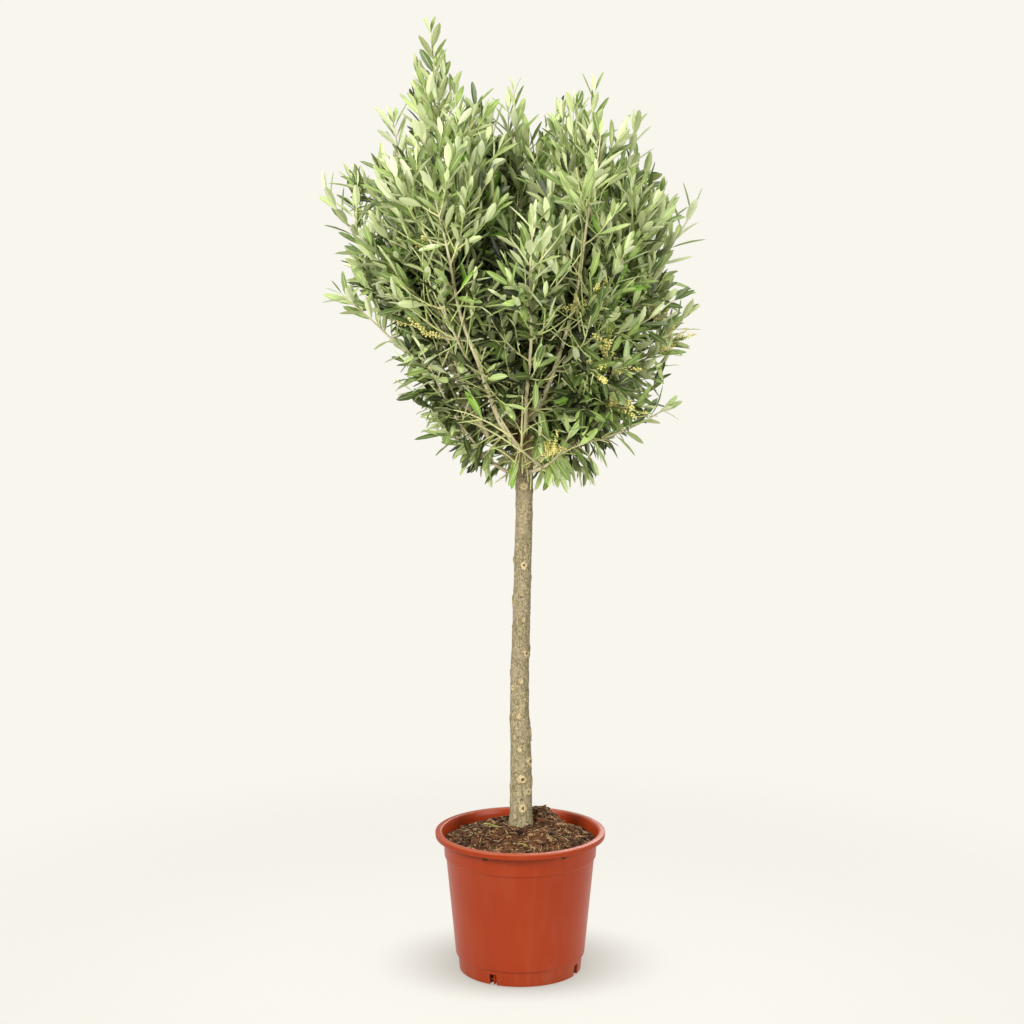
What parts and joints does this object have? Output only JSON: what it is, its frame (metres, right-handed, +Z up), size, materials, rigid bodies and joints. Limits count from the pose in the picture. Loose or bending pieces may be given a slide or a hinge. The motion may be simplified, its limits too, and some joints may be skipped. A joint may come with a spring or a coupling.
{
  "type": "potted olive tree",
  "caption": "Standard olive tree with a bare knotted stem and an open rounded crown of narrow leaves, growing in a round plastic nursery pot filled with bark compost.",
  "frame": {"origin": "centre of the pot's flat underside, on the surface that the pot stands on", "axes": "+Z up the stem, +X to the right and -Y to the front as the plant is seen, with the tallest shoot at the left"},
  "size_m": [0.7099, 0.6301, 1.787],
  "materials": {
    "pot": "satin moulded plastic in terracotta",
    "soil": "loose bark and peat compost",
    "bark": "dry grey-beige bark with pruning scars",
    "young_bark": "smooth pale bark",
    "foliage": "leathery leaves, dark above and silvery green below"
  },
  "bodies": {
    "root": {"pot": "pot", "soil": "soil", "trunk": "bark", "bough_front_left": "young_bark", "bough_left": "young_bark", "bough_left_middle": "young_bark", "bough_left_high": "young_bark", "bough_left_low": "young_bark", "bough_right": "young_bark", "bough_right_top": "young_bark", "bough_right_high": "young_bark", "bough_right_middle": "young_bark", "bough_right_low": "young_bark", "bough_middle": "young_bark", "bough_front": "young_bark", "bough_front_right": "young_bark", "bough_front_side": "young_bark", "bough_front_low": "young_bark", "bough_left_top": "young_bark", "bough_back": "young_bark", "bough_back_left": "young_bark", "bough_back_right": "young_bark", "bough_back_low": "young_bark", "foliage_front_left": "foliage", "foliage_left": "foliage", "foliage_left_middle": "foliage", "foliage_left_high": "foliage", "foliage_left_low": "foliage", "foliage_right": "foliage", "foliage_right_top": "foliage", "foliage_right_high": "foliage", "foliage_right_middle": "foliage", "foliage_right_low": "foliage", "foliage_middle": "foliage", "foliage_front": "foliage", "foliage_front_right": "foliage", "foliage_front_side": "foliage", "foliage_front_low": "foliage", "foliage_left_top": "foliage", "foliage_back": "foliage", "foliage_back_left": "foliage", "foliage_back_right": "foliage", "foliage_back_low": "foliage"}
  },
  "joints": []
}
